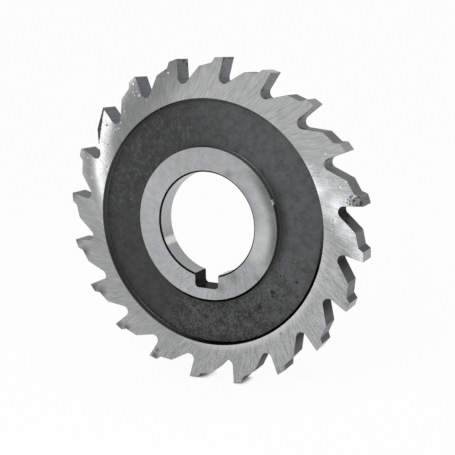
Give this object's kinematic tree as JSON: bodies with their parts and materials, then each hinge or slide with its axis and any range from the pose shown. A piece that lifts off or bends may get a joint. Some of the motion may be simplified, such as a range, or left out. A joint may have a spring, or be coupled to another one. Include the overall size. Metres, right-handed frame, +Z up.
{
  "type": "slotting cutter",
  "caption": "Straight-toothed disc milling cutter with raised hub, recessed dark web and keyed bore, standing on two of its teeth.",
  "frame": {"origin": "centre of the bore, halfway through the cutter's width", "axes": "+Y along the bore from the front face to the back face, +Z up from the two teeth it stands on, +X to the right seen from the front; the keyway is at the bottom"},
  "size_m": [0.0988, 0.007, 0.0988],
  "materials": {
    "tool_steel": "ground bright on the hub and the toothed rim, blackened on the web"
  },
  "bodies": {
    "root": {"slotting_cutter": "tool_steel"}
  },
  "joints": []
}
